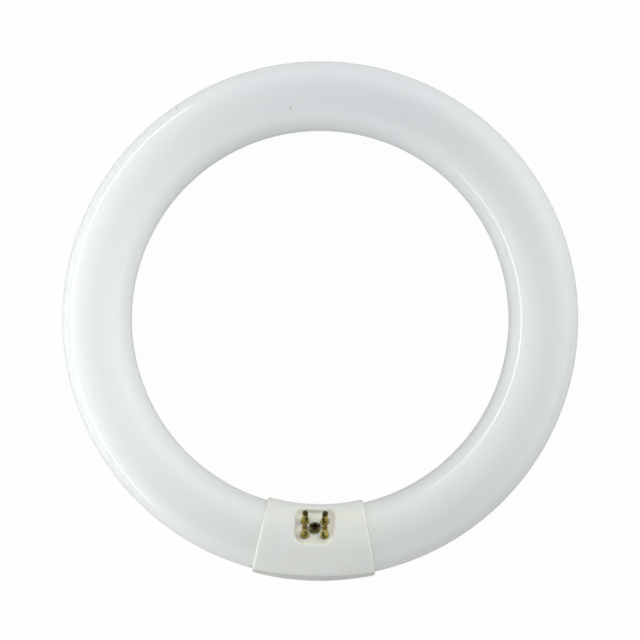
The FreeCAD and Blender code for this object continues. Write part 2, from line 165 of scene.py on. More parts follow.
def rounded_loop(
    box: np.ndarray, length: float, width: float, corner: float, grow: Values = 0.0
) -> np.ndarray:
    """Map the square's loop to a rectangle with round corners.

    A point in a corner is drawn along its line from the corner's centre until it lies on the corner's arc.

    Args:
        box: Loop on the square from -1 to 1.
        length: Size along the first axis.
        width: Size along the second axis.
        corner: Radius of the corners.
        grow: Even offset outwards, one for all points or one for each.

    Returns:
        Points of the loop, shaped as the square's loop.
    """
    grow = np.broadcast_to(np.asarray(grow, float), box.shape[:1])[:, None]
    half = np.array([length, width]) / 2
    target = box * (half + grow)
    core = np.clip(target, corner - half, half - corner)
    away = target - core
    return core + away / np.linalg.norm(away, axis=1, keepdims=True) * (corner + grow)


def closed_mesh(name: str, loops: np.ndarray) -> bpy.types.Object:
    """Make a closed piece from loops of points.

    Neighbouring loops are joined by quads, and the first and last loop by triangles to the mean of their
    points. The sum of the signed volumes between the faces and the origin tells which way the faces point.

    Args:
        name: Name of the piece and of its mesh.
        loops: Points, shaped (loops, points on a loop, 3).

    Returns:
        The piece, linked to the scene, with its faces outwards.
    """
    rows, count = loops.shape[:2]
    points = np.concatenate([loops.reshape(-1, 3), loops[[0, -1]].mean(axis=1)])
    index = np.arange(rows * count).reshape(rows, count)
    beside = np.roll(index, -1, axis=1)
    quads = np.stack([index[:-1], beside[:-1], beside[1:], index[1:]], axis=-1).reshape(-1, 4)
    start = np.stack([beside[0], index[0], np.full(count, rows * count)], axis=-1)
    stop = np.stack([index[-1], beside[-1], np.full(count, rows * count + 1)], axis=-1)
    triangles = np.concatenate([quads[:, :3], quads[:, [0, 2, 3]], start, stop])
    corners = points[triangles]
    volume = np.einsum("ij,ij->", corners[:, 0], np.cross(corners[:, 1], corners[:, 2]))
    order = slice(None, None, 1 if volume > 0 else -1)
    faces = [list(face) for part in (quads, start, stop) for face in part[:, order].tolist()]
    mesh = bpy.data.meshes.new(name)
    mesh.from_pydata(points.tolist(), [], faces)
    mesh.shade_smooth()
    mesh.set_sharp_from_angle(angle=SHARP_ANGLE)
    piece = bpy.data.objects.new(name, mesh)
    bpy.context.scene.collection.objects.link(piece)
    return piece


class Socket:
    """A shader socket that takes part in Python expressions on values."""

    def __init__(self, shader: "Shader", socket: bpy.types.NodeSocket) -> None:
        """Wrap an output of one of a shader's nodes."""
        self.shader = shader
        self.socket = socket

    def math(self, operation: str, *values: Any) -> "Socket":
        """Add a Math node on some values."""
        return self.shader.node("ShaderNodeMath", {"operation": operation}, dict(enumerate(values)))

    def __add__(self, other: Any) -> "Socket":
        """Add a value."""
        return self.math("ADD", self, other)

    def __sub__(self, other: Any) -> "Socket":
        """Take a value away."""
        return self.math("SUBTRACT", self, other)

    def __rsub__(self, other: Any) -> "Socket":
        """Take this value away from another."""
        return self.math("SUBTRACT", other, self)

    def __mul__(self, other: Any) -> "Socket":
        """Multiply by a value."""
        return self.math("MULTIPLY", self, other)

    __radd__ = __add__
    __rmul__ = __mul__

    def __pow__(self, other: Any) -> "Socket":
        """Raise to a power."""
        return self.math("POWER", self, other)

    def __abs__(self) -> "Socket":
        """Drop the sign."""
        return self.math("ABSOLUTE", self)

    def larger(self, other: Any) -> "Socket":
        """Keep the larger of two values."""
        return self.math("MAXIMUM", self, other)

    def between(self, low: float, high: float) -> "Socket":
        """Ease from 0 at one value to 1 at another."""
        inputs = {"Value": self, "From Min": low, "From Max": high}
        return self.shader.node("ShaderNodeMapRange", {"interpolation_type": "SMOOTHSTEP"}, inputs)


class Shader:
    """A node tree that is built from expressions."""

    def __init__(self, tree: bpy.types.NodeTree) -> None:
        """Start from an empty tree."""
        self.tree = tree
        tree.nodes.clear()

    def node(
        self,
        kind: str,
        settings: dict[str, Any] | None = None,
        inputs: dict[Any, Any] | None = None,
        output: Any = 0,
    ) -> Socket | None:
        """Add a node.

        Args:
            kind: Type of the node.
            settings: Properties of the node, set before its sockets.
            inputs: Values or links of its sockets, by name or number.
            output: Name or number of the output to give back.

        Returns:
            That output, or nothing for a node that ends the tree.
        """
        made = self.tree.nodes.new(kind)
        for name, value in (settings or {}).items():
            setattr(made, name, value)
        for name, value in (inputs or {}).items():
            if isinstance(value, Socket):
                self.tree.links.new(value.socket, made.inputs[name])
            else:
                made.inputs[name].default_value = value
        return Socket(self, made.outputs[output]) if made.outputs else None

    def place(self) -> Socket:
        """Give the place on the piece, in the object's own frame."""
        return self.node("ShaderNodeTexCoord", output="Object")

    def noise(self, grain: float, detail: float = 3.0) -> Socket:
        """Give soft noise from 0 to 1 whose patches are about one grain wide."""
        inputs = {"Vector": self.place(), "Scale": 1.0 / grain, "Detail": detail}
        return self.node("ShaderNodeTexNoise", {"noise_dimensions": "3D"}, inputs)

    def measure(self, operation: str, point: Point) -> Socket:
        """Measure the place on the piece against a point, by one of Vector Math's operations."""
        inputs = {0: self.place(), 1: point}
        return self.node("ShaderNodeVectorMath", {"operation": operation}, inputs, "Value")

    def along(self, axis: Point) -> Socket:
        """Give how far the place lies along an axis from the origin."""
        return self.measure("DOT_PRODUCT", axis)

    def distance(self, point: Point) -> Socket:
        """Give the distance from the place to a point."""
        return self.measure("DISTANCE", point)

    def mix(self, share: Any, first: Any, second: Any) -> Socket:
        """Mix two colours.

        Args:
            share: Share of the second colour.
            first: First colour.
            second: Second colour.

        Returns:
            The mixed colour.
        """
        first, second = ((*end, 1.0) if isinstance(end, tuple) else end for end in (first, second))
        inputs = {MIX_SHARE: share, MIX_FIRST: first, MIX_SECOND: second}
        return self.node("ShaderNodeMix", {"data_type": "RGBA"}, inputs, MIX_RESULT)

    def bump(self, height: Socket, depth: float, strength: float) -> Socket:
        """Turn a height from 0 to 1 into a bumped normal."""
        inputs = {"Height": height, "Distance": depth, "Strength": strength}
        return self.node("ShaderNodeBump", None, inputs, "Normal")

    def seen(self, direct: float = 1.0, mirrored: float = 1.0) -> Socket:
        """Give a share that depends on the kind of ray, 0 for rays that only light.

        Args:
            direct: Share for rays from the camera.
            mirrored: Share for reflections and refractions.

        Returns:
            The share.
        """
        kinds = "Camera", "Glossy", "Transmission"
        rays = [self.node("ShaderNodeLightPath", output=f"Is {kind} Ray") for kind in kinds]
        return (rays[0] * direct).larger(rays[1].larger(rays[2]) * mirrored)

    def finish(self, surface: Socket, kind: str = "ShaderNodeOutputMaterial") -> None:
        """End the tree with a surface."""
        self.node(kind, None, {"Surface": surface})

    def principled(self, **sockets: Any) -> None:
        """End the tree with one Principled surface, whose sockets are named with underscores for spaces."""
        inputs = {name.replace("_", " "): value for name, value in sockets.items()}
        self.finish(self.node("ShaderNodeBsdfPrincipled", None, inputs, "BSDF"))


@dataclass(frozen=True)
class RingFrame:
    """Places points by the circle that the tube follows, and by the pins at the base."""

    ring_radius: float  # from the ring's axis to the tube's centre line
    pin_lean: float  # angle of the pins to the ring's axis, towards its centre

    @property
    def pin_axis(self) -> Point:
        """Give the direction of the pins."""
        return 0.0, math.sin(self.pin_lean), math.cos(self.pin_lean)

    def up_pins(self, shader: Shader) -> Socket:
        """Give how far a shaded place lies up the pins, from the tube's axis at the base."""
        return shader.along(self.pin_axis) + self.ring_radius * math.sin(self.pin_lean)

    def on_tube(self, bearing: Values, angle: Values, radius: Values) -> np.ndarray:
        """Give points around the tube's centre line.

        A point's distance from the ring's axis is the ring's radius plus radius times the angle's cosine, and
        its height is radius times the angle's sine.

        Args:
            bearing: Direction from the ring's axis, from -Y towards +X.
            angle: Direction in the tube's section, from outwards to up.
            radius: Distance from the centre line.

        Returns:
            Points, with a last axis of three.
        """
        reach = self.ring_radius + radius * np.cos(angle)
        parts = reach * np.sin(bearing), -reach * np.cos(bearing), radius * np.sin(angle)
        return np.stack(np.broadcast_arrays(*parts), axis=-1)

    def at_base(self, along: Values, across: Values, height: Values) -> np.ndarray:
        """Give points at the base by a leaning frame: along the tube, across it, and up the pins.

        Args:
            along: Distance along X.
            across: Distance towards the ring's centre, square to the pins.
            height: Distance up the pins from the tube's axis.

        Returns:
            Points, with a last axis of three.
        """
        _, lean_sine, lean_cosine = self.pin_axis
        inwards = across * lean_cosine + height * lean_sine - self.ring_radius
        upwards = height * lean_cosine - across * lean_sine
        return np.stack(np.broadcast_arrays(along, inwards, upwards), axis=-1)

    def height_on_tube(self, half: Half, plan: np.ndarray, radius: float) -> np.ndarray:
        """Find where lines along the pins meet a tube of some radius round the centre line.

        The squared distance to the centre line equals the squared radius, which Newton's method solves.

        Args:
            half: The half of the tube to meet.
            plan: Places along and across the tube, shaped (points, 2).
            radius: Radius of the tube.

        Returns:
            Heights up the pins, one for each place.
        """
        _, lean_sine, lean_cosine = self.pin_axis
        along, across = plan[..., 0], plan[..., 1]
        height = half.value * np.sqrt(radius**2 - across**2)
        for _ in range(SETTLING_ROUNDS):
            x, y, z = np.moveaxis(self.at_base(along, across, height), -1, 0)
            reach = np.hypot(x, y)
            out = reach - self.ring_radius
            slope = out * y / reach * lean_sine + z * lean_cosine
            height = height - (out**2 + z**2 - radius**2) / (2 * slope)
        return height


def new_material(name: str) -> tuple[bpy.types.Material, Shader]:
    """Start a material.

    Args:
        name: Name of the material.

    Returns:
        The material, and the shader that fills it.
    """
    material = bpy.data.materials.new(name)
    material.use_nodes = True
    return material, Shader(material.node_tree)


@dataclass(frozen=True)
class CoatedGlass:
    """Clear glass over a white powder coat, with painted light and shade across the ring, painted shade of
    the base near its ends, and a speck or two.
    """

    base_shade_middle: Point  # place between the tube's ends, about which painted shade greys the coat
    dim_middle: Point  # place opposite the ends, about which the painted light is least
    specks: tuple[tuple[Point, float], ...]  # place and radius of each speck
    # coat colours for painted shade towards the upper right and painted light towards the lower left
    dim_coat: Colour = (0.618, 0.662, 0.668)
    bright_coat: Colour = (0.75, 0.78, 0.78)
    # painted shade of the base on the glass near the tube's ends
    base_shade: Colour = (0.625, 0.653, 0.622)
    speck: Colour = (0.16, 0.15, 0.14)
    light_span: Pair = (20 * MM, 120 * MM)  # where the painted light grows, from the dim place
    side_light_reach: float = 100 * MM  # where the painted light from the left goes on growing, to each side
    base_shade_span: Pair = (20 * MM, 115 * MM)  # where the painted shade fades, from the place between the ends
    base_shade_share: float = 0.9  # share of the painted shade at the ends
    cloud: float = 45 * MM
    grain: float = 0.7 * MM

    def make(self) -> bpy.types.Material:
        """Make the material: powder with painted light and shade, soft clouds and a fine grain, under a
        smooth glossy coat.

        Returns:
            The material.
        """
        material, shader = new_material("coated_glass")
        grain = shader.noise(self.grain, 2.0)
        clouds = shader.noise(self.cloud, 2.0)
        rise_light = shader.distance(self.dim_middle).between(*self.light_span)
        side_light = shader.along((-1.0, 0.0, 0.0)).between(-self.side_light_reach, self.side_light_reach)
        # painted light towards the left and away from the top, painted shade towards the upper right, with
        # real mottle from the clouds and grain
        light_and_mottle = rise_light * 0.68 + side_light * 0.22 + clouds * 0.06 + grain * 0.04
        base_shade_fade = shader.distance(self.base_shade_middle).between(*self.base_shade_span)
        colour = shader.mix(light_and_mottle, self.dim_coat, self.bright_coat)
        # painted shade of the base, greying the glass near the tube's ends
        colour = shader.mix((1 - base_shade_fade) * self.base_shade_share, colour, self.base_shade)
        for place, radius in self.specks:
            mask = 1 - shader.distance(place).between(0.5 * radius, radius)
            colour = shader.mix(mask, colour, self.speck)
        shader.principled(
            Base_Color=colour,
            Roughness=0.45 + 0.1 * grain,
            Specular_IOR_Level=0.25,
            Coat_Weight=1.0,
            Coat_Roughness=0.03,
            Coat_IOR=1.5,
        )
        return material


@dataclass(frozen=True)
class MouldedPlastic:
    """Warm white moulded plastic, with painted light in the pocket, painted shade along its seam, and a back
    shell darker partly in its own tone and partly by painted shade.
    """

    ring: RingFrame
    skin_radius: float
    floor_height: float
    pocket_light: Colour = (0.95, 0.945, 0.87)  # painted light on the pocket's walls and the floor next to them, under the skin
    pocket_floor_light: Colour = (0.73, 0.74, 0.65)  # middle of the pocket's floor, with less painted light
    pale: Colour = (0.668, 0.695, 0.672)
    warm: Colour = (0.658, 0.678, 0.617)  # yellower patches of the skin
    # painted shade along the seam, and on the back shell a darker tone that is partly its own and partly
    # painted shade
    shade_and_tone: Colour = (0.3, 0.32, 0.28)
    skin_span: Pair = (0.05 * MM, 0.8 * MM)  # depths where the skin's colour gives way
    wall_span: Pair = (0.1 * MM, 1.2 * MM)  # heights above the floor where the painted light on the walls grows
    floor_light_middle: float = -1 * MM  # along X, where the floor's painted light is least
    floor_light_span: Pair = (4.5 * MM, 8 * MM)  # where the floor's painted light grows, from its middle
    seam_span: Pair = (0.1 * MM, 0.35 * MM)  # where the seam's painted shade fades
    back_depth: float = 0.3 * MM  # depth behind the seam where the back shell's darker tone is full
    seam_shade: float = 0.5
    back_tone_and_shade: float = 0.46
    patch: float = 14 * MM
    grain: float = 0.35 * MM

    def make(self) -> bpy.types.Material:
        """Make the material: slow drift to a warmer tone, painted light in the pocket below the skin, painted
        shade at the seam and a darker back, with a fine moulded grain.

        The depth below the skin is the skin's radius less the distance to the tube's centre line.

        Returns:
            The material.
        """
        material, shader = new_material("base_plastic")
        x, y, z = (shader.along(tuple(axis)) for axis in np.eye(3).tolist())
        out = (x * x + y * y) ** 0.5 - self.ring.ring_radius
        depth = self.skin_radius - (out * out + z * z) ** 0.5
        height = self.ring.up_pins(shader)
        # painted light: the pocket's walls and the floor near them lifted to a brighter colour
        lit_walls = (height - self.floor_height).between(*self.wall_span)
        lit_floor_edges = abs(x - self.floor_light_middle).between(*self.floor_light_span)
        pocket = shader.mix(lit_walls.larger(lit_floor_edges), self.pocket_floor_light, self.pocket_light)
        patches = shader.noise(self.patch, 2.0).between(0.35, 0.75)
        skin = shader.mix(patches, self.pale, self.warm)
        colour = shader.mix(depth.between(*self.skin_span), skin, pocket)
        # painted shade along the seam; the back shell darker, partly in its own tone and partly by painted
        # shade
        seam = 1 - abs(height).between(*self.seam_span)
        back = 1 - height.between(-self.back_depth, 0.0)
        grain = shader.noise(self.grain)
        shade_and_tone = (seam * self.seam_shade).larger(back * self.back_tone_and_shade)
        shader.principled(
            Base_Color=shader.mix(shade_and_tone, colour, self.shade_and_tone),
            Roughness=0.32 + 0.12 * grain,
            Specular_IOR_Level=0.45,
            Subsurface_Weight=0.5,
            Subsurface_Radius=(1.0, 1.0, 0.8),
            Subsurface_Scale=1.5 * MM,
            Normal=shader.bump(grain, 0.02 * MM, 0.25),
        )
        return material


@dataclass(frozen=True)
class PinBrass:
    """Drawn brass, with a painted dark reflection on its head and painted shade at the foot and on the side
    towards the base's middle.
    """

    ring: RingFrame
    floor_height: float
    collar: float  # height above the floor
    head: float  # height at which the head starts
    middle: float  # from the base's middle plane to the pin's axis
    radius: float
    head_reflection: Colour  # painted dark reflection on the head
    bright: Colour = (0.62, 0.52, 0.14)
    dull: Colour = (0.2, 0.13, 0.04)
    pin_shade: Colour = (0.03, 0.024, 0.01)
    head_span: Pair = (-0.3 * MM, 0.1 * MM)  # where the head's painted reflection sets in, from the head's start
    foot_shade_span: Pair = (0.5 * MM, 1.1 * MM)  # where the painted shade at the foot fades, above the floor
    side_shade_start: Pair = (0.0, 0.4 * MM)  # where the painted shade on the side sets in, above the collar
    side_shade_stop: Pair = (-1.6 * MM, -1.2 * MM)  # where it fades, from the head's start
    mottle: float = 1.1 * MM
    ragged: float = 0.8 * MM  # unevenness of the painted edges

    def make(self) -> bpy.types.Material:
        """Make the material: mottled brass, with painted shade by place and a painted dark reflection from
        the head's start upwards.

        Returns:
            The material.
        """
        material, shader = new_material("pin_brass")
        mottle = shader.noise(self.mottle, 4.0)
        height = self.ring.up_pins(shader) - self.floor_height + (mottle - 0.5) * self.ragged
        past_head = height - self.head
        # painted shade on the barrel's side towards the base's middle, and at the foot
        barrel = (height - self.collar).between(*self.side_shade_start) - past_head.between(*self.side_shade_stop)
        aside = abs(shader.along((1.0, 0.0, 0.0))) - self.middle
        inner = 1 - aside.between(-0.5 * self.radius, 0.4 * self.radius)
        foot = 1 - height.between(*self.foot_shade_span)
        colour = shader.mix(mottle.between(0.48, 0.66), self.bright, self.dull)
        colour = shader.mix((barrel * inner).larger(foot * 0.8), colour, self.pin_shade)
        shader.principled(
            # painted dark reflection on the head, from the head's start upwards
            Base_Color=shader.mix(past_head.between(*self.head_span) * 0.9, colour, self.head_reflection),
            Metallic=1.0,
            Roughness=0.16 + 0.16 * mottle,
        )
        return material


@dataclass(frozen=True)
class ScrewBronze:
    """Dark plated screw metal, olive towards its rim, with painted shade in its recess."""

    middle: Point  # middle of the head
    head_radius: float
    plate: Colour = (0.12, 0.09, 0.06)
    rim: Colour = (0.28, 0.27, 0.1)
    recess_shade: Colour = (0.016, 0.008, 0.004)
    scuff: float = 0.5 * MM
    ragged: float = 0.6 * MM  # unevenness of the colours' edges

    def make(self) -> bpy.types.Material:
        """Make the material: dark towards the middle, olive at the rim, with fine scuffs and painted shade in
        the recess.

        Returns:
            The material.
        """
        material, shader = new_material("screw_bronze")
        scuff = shader.noise(self.scuff, 4.0)
        out = shader.distance(self.middle) + (scuff - 0.5) * self.ragged
        plate_to_rim = shader.mix(out.between(0.62 * self.head_radius, self.head_radius), self.plate, self.rim)
        # painted shade: near black in the recess
        recess_edge = out.between(0.18 * self.head_radius, 0.5 * self.head_radius)
        shader.principled(
            Base_Color=shader.mix(recess_edge, self.recess_shade, plate_to_rim),
            Metallic=1.0,
            Roughness=0.28 + 0.25 * scuff,
        )
        return material


@dataclass(frozen=True)
class TinnedWire:
    """Tinned lead wire."""

    bright: Colour = (0.55, 0.54, 0.52)
    grey: Colour = (0.36, 0.36, 0.36)
    patch: float = 1.5 * MM

    def make(self) -> bpy.types.Material:
        """Make the material: bright and dull patches along the wire.

        Returns:
            The material.
        """
        material, shader = new_material("tinned_wire")
        patches = shader.noise(self.patch)
        shader.principled(
            Base_Color=shader.mix(patches.between(0.35, 0.65), self.bright, self.grey),
            Metallic=1.0,
            Roughness=0.25 + 0.2 * patches,
        )
        return material


@dataclass(frozen=True)
class FloorPaper:
    """White paper under the lamp, lifted to white where it is seen and still shaded by the lamp."""

    white: Colour = (0.62, 0.62, 0.62)
    shade: Colour = (0.6, 0.6, 0.6)  # faint clouds
    cloud: float = 80 * MM
    lift: float = 0.97  # share of plain white in what is seen
    mirrored: float = 0.1  # the same in reflections, which keep more of the lamp's shadow

    def make(self) -> bpy.types.Material:
        """Make the material: matt paper mixed with plain white for seen rays.

        Returns:
            The material.
        """
        material, shader = new_material("floor_paper")
        colour = shader.mix(shader.noise(self.cloud), self.white, self.shade)
        paper = shader.node("ShaderNodeBsdfDiffuse", None, {"Color": colour})
        white = shader.node("ShaderNodeEmission", None, {"Color": (1.0, 1.0, 1.0, 1.0), "Strength": 1.0})
        seen = shader.seen(self.lift, self.mirrored)
        shader.finish(shader.node("ShaderNodeMixShader", None, {0: seen, 1: paper, 2: white}))
        return material


def paint(piece: bpy.types.Object, material: bpy.types.Material) -> None:
    """Give a piece its material, in every slot that it has or in a new one.

    Args:
        piece: The piece.
        material: Its material.
    """
    if piece.material_slots:
        for place in piece.material_slots:
            place.material = material
    else:
        piece.data.materials.append(material)


def seat(piece: bpy.types.Object, node: str) -> bpy.types.Object:
    """Let a new piece ride on the lamp in place of its solid, and report it.

    Args:
        piece: The piece.
        node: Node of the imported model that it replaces.

    Returns:
        The piece.
    """
    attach(piece, BODY)
    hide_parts(node)
    log.info("%s: %d faces in place of %s", piece.name, len(piece.data.polygons), node)
    return piece


@dataclass
class GlassRing:
    """The glass tube: a ring with rounded, sealed ends and an exhaust tip on each."""

    ring: RingFrame
    tube_radius: float
    half_gap: float = 10.6 * MM  # from the base's middle to a sealed end
    shoulder: float = 5 * MM  # rounding of the sealed ends
    tip_radius: float = 2.5 * MM
    tip_length: float = 4 * MM
    tip_round: float = 2 * MM
    base_shade_place: Pair = (5.0, 90.0)  # bearing and angle, in degrees
    dim_place: Pair = (180.0, 90.0)  # the same
    specks: tuple[Point, ...] = ((215.8, 34.0, 0.55 * MM), (189.5, 115.7, 0.35 * MM))  # with a radius
    along_count: int = 420
    round_count: int = 96

    def end_profile(self) -> np.ndarray:
        """Lay out the profile of one end, from the end of its tip to the full tube.

        Returns:
            Pairs of radius and bearing.
        """
        tip_start = math.asin((self.half_gap - self.tip_length) / self.ring.ring_radius)
        gap = math.asin(self.half_gap / self.ring.ring_radius)
        tip = arc((self.tip_radius - self.tip_round, self.tip_round), self.tip_round, -80, 0, 6)
        face = np.array([[self.tip_radius, 0.0]])
        shoulder = arc((self.tube_radius - self.shoulder, self.shoulder), self.shoulder, -90, 0, 10)
        per_length = np.array([1.0, 1.0 / self.ring.ring_radius])
        parts = [tip * per_length + [0.0, tip_start], face + [0.0, gap], shoulder * per_length + [0.0, gap]]
        return np.concatenate(parts)

    def on_glass(self, bearing: float, angle: float) -> Point:
        """Give a place on the glass, by its bearing and its angle in the section, in degrees."""
        points = self.ring.on_tube(math.radians(bearing), math.radians(angle), self.tube_radius)
        return tuple(points.tolist())

    def dress(self, tube: bpy.types.Object) -> None:
        """Dress the tube in coated glass, with its specks.

        Args:
            tube: The tube.
        """
        specks = tuple((self.on_glass(bearing, angle), radius) for bearing, angle, radius in self.specks)
        finish = CoatedGlass(self.on_glass(*self.base_shade_place), self.on_glass(*self.dim_place), specks)
        paint(tube, finish.make())

    def build(self) -> None:
        """Build the tube and dress it.

        Each loop is a circle round the centre line, whose radius and bearing follow the profile of one end,
        then the ring, then the profile of the other end.
        """
        end = self.end_profile()
        start = end[-1, 1]
        body = np.linspace(start, 2 * math.pi - start, self.along_count)[1:-1]
        ring = np.stack([np.full(body.size, self.tube_radius), body], axis=-1)
        other = np.stack([end[::-1, 0], 2 * math.pi - end[::-1, 1]], axis=-1)
        radius, bearing = np.concatenate([end, ring, other]).T[:, :, None]
        points = self.ring.on_tube(bearing, full_turn(self.round_count), radius)
        self.dress(seat(closed_mesh("lamp_glass", points), "glass_tube"))


@dataclass
class LampBase:
    """The moulded base: two half shells on the tube, with the pocket of the pins in the front one."""

    ring: RingFrame
    bore_radius: float = 14.03 * MM
    skin_radius: float = 15.39 * MM
    length: float = 45.4 * MM  # at the tube's centre line
    end_lean: float = math.radians(11)  # to the base's middle plane
    end_round: float = 0.9 * MM  # outer edge at each end
    parting_round: float = 0.2 * MM  # edges where the shells meet
    corner_start: float = 0.9  # share of the length past which that rounding grows into the ends'
    floor_height: float = 11.2 * MM  # pocket's floor, from the tube's axis
    pocket_length: float = 14.8 * MM
    pocket_width: float = 15.2 * MM
    pocket_corner: float = 3 * MM
    pocket_draft: float = math.radians(8)
    pocket_rim: float = 0.8 * MM  # rounding
    pocket_foot: float = 0.35 * MM  # rounding between walls and floor
    tub_wall: float = 1.6 * MM  # tub round the pocket
    tub_floor: float = 2 * MM
    boss_radius: float = 2.6 * MM
    boss_height: float = 9 * MM  # from the tube's axis
    pilot_radius: float = 1.18 * MM  # hole in the boss
    pilot_floor: float = -3.8 * MM  # from the tube's axis
    per_side: int = 64
    skin_rows: int = 32

    def __post_init__(self) -> None:
        """Lay out the square's loop, which all loops of the shells are mapped from, and its inset form."""
        self.box = box_loop(self.per_side)
        half_girth = self.skin_radius * math.pi / 2
        self.inset = np.array([self.end_round / (self.length / 2), self.parting_round / half_girth])
        self.inner_box = self.box * (1 - self.inset)

    def parting(self, half: Half, bearing: np.ndarray, radius: Values) -> tuple[np.ndarray, np.ndarray]:
        """Find the middle and half the sweep of a half shell's section.

        The parting plane passes through the tube's axis at the base's middle, square to the pins. In a
        section at some bearing it meets a circle where sin(angle - tilt) is minus the plane's rise over the
        radius.

        Args:
            half: The half shell.
            bearing: Bearing of the section.
            radius: Distance from the centre line.

        Returns:
            The angle of the middle, and the angle from there to each parting face.
        """
        _, lean_sine, lean_cosine = self.ring.pin_axis
        tilt = np.arctan2(lean_sine * np.cos(bearing), lean_cosine)
        steepness = np.hypot(lean_sine * np.cos(bearing), lean_cosine)
        rise = lean_sine * self.ring.ring_radius * (1 - np.cos(bearing)) / steepness
        sign = half.value
        return tilt + sign * math.pi / 2, math.pi / 2 + sign * np.arcsin(rise / radius)

    def end_bearing(self, angle: np.ndarray, radius: Values) -> np.ndarray:
        """Find the bearing at which an end plane cuts the shell, the lean plus an arc sine."""
        offset = self.length / 2 * math.cos(self.end_lean) - self.ring.ring_radius * math.sin(self.end_lean)
        return self.end_lean + np.arcsin(offset / (self.ring.ring_radius + radius * np.cos(angle)))

    def shell_points(self, half: Half, shares: np.ndarray, radius: Values) -> np.ndarray:
        """Give points of a half shell from shares of its length and girth.

        The first share runs from -1 to 1 between the end planes, the second from -1 to 1 between the parting
        faces. Bearing and angle depend on each other, so they are found by turns.

        Args:
            half: The half shell.
            shares: Shares along and around, with a last axis of two.
            radius: Distance from the centre line.

        Returns:
            Points, with a last axis of three.
        """
        along, around = np.moveaxis(shares, -1, 0)
        bearing = np.zeros_like(along)
        for _ in range(SETTLING_ROUNDS):
            middle, sweep = self.parting(half, bearing, radius)
            angle = middle + around * sweep
            bearing = along * self.end_bearing(angle, radius)
        return self.ring.on_tube(bearing, angle, radius)

    def shell_shares(self, half: Half, points: np.ndarray) -> np.ndarray:
        """Turn points of a half shell back into shares of its length and girth.

        Args:
            half: The half shell.
            points: Points, with a last axis of three.

        Returns:
            Shares along and around, with a last axis of two.
        """
        x, y, z = np.moveaxis(points, -1, 0)
        out = np.hypot(x, y) - self.ring.ring_radius
        bearing, angle, radius = np.arctan2(x, -y), np.arctan2(z, out), np.hypot(out, z)
        middle, sweep = self.parting(half, bearing, radius)
        return np.stack([bearing / self.end_bearing(angle, radius), (angle - middle) / sweep], axis=-1)

    def on_tube(self, half: Half, plan: np.ndarray, radius: float) -> np.ndarray:
        """Carry a flat loop along the pins onto a tube of some radius."""
        return self.ring.at_base(plan[:, 0], plan[:, 1], self.ring.height_on_tube(half, plan, radius))

    def flat(self, plan: np.ndarray, height: Values) -> np.ndarray:
        """Lay a flat loop at a height up the pins."""
        return self.ring.at_base(plan[:, 0], plan[:, 1], height)

    def pocket_loop(self, grow: Values) -> np.ndarray:
        """Give the outline of the pocket's floor, grown evenly."""
        return rounded_loop(self.box, self.pocket_length, self.pocket_width, self.pocket_corner, grow)

    def spread(self, half: Half, first: np.ndarray, last: np.ndarray, radius: float) -> np.ndarray:
        """Give loops on the shell's skin or bore, evenly spaced from one loop of shares to another."""
        shares = first + np.linspace(0, 1, self.skin_rows)[:, None, None] * (last - first)
        return self.shell_points(half, shares, radius)

    def edge_loops(self, half: Half) -> np.ndarray:
        """Give loops over the outer edge and down to the bore.

        The edge is a quarter round: its inset shrinks by one less the sine and its drop grows by one less the
        cosine. The drop eases from the parting faces' rounding to the ends' near each corner.

        Args:
            half: The half shell.

        Returns:
            Points, shaped (loops, points on a loop, 3).
        """
        turn = np.radians(np.linspace(0, 90, 7))[:, None]
        shares = self.box * (1 - self.inset * (1 - np.sin(turn))[:, :, None])
        corner = ease((np.abs(self.box[:, 0]) - self.corner_start) / (1 - self.corner_start))
        drop = self.parting_round + corner * (self.end_round - self.parting_round)
        edge = self.shell_points(half, shares, self.skin_radius - drop * (1 - np.cos(turn)))
        bore = self.shell_points(half, self.box, self.bore_radius)
        return np.concatenate([edge, bore[None]])

    def pocket_loops(self) -> np.ndarray:
        """Give loops from the middle of the pocket's floor, up its wall and over its rim to the skin.

        The rim is a quarter round on the sharp edge: the way back down the wall shrinks by one less the sine,
        and the way out along the skin grows by one less the cosine.

        Returns:
            Points, shaped (loops, points on a loop, 3).
        """
        slope, floor = math.tan(self.pocket_draft), self.floor_height
        foot = self.pocket_loop(-self.pocket_foot)
        loops = [self.flat(foot * share, floor) for share in (0.08, 0.3, 0.6, 0.85)]
        for turn in np.radians(np.linspace(0, 75, 5)):
            out, up = self.pocket_foot * (math.sin(turn) - 1), self.pocket_foot * (1 - math.cos(turn))
            loops.append(self.flat(self.pocket_loop(out), floor + up))
        grow = np.zeros(len(self.box))
        for _ in range(SETTLING_ROUNDS):
            rim = self.pocket_loop(grow)
            height = self.ring.height_on_tube(Half.FRONT, rim, self.skin_radius)
            grow = slope * (height - floor)
        edge = self.flat(rim, height)
        wall = self.flat(self.pocket_loop(grow - slope * self.pocket_rim), height - self.pocket_rim)
        skin = self.on_tube(Half.FRONT, self.pocket_loop(grow + self.pocket_rim), self.skin_radius)
        low = self.flat(self.pocket_loop(slope * self.pocket_foot), floor + self.pocket_foot)
        loops += [low + share * (wall - low) for share in (0.0, 0.33, 0.67)]
        for turn in np.radians(np.linspace(0, 90, 9)):
            loops.append(edge + (wall - edge) * (1 - math.sin(turn)) + (skin - edge) * (1 - math.cos(turn)))
        return np.stack(loops)

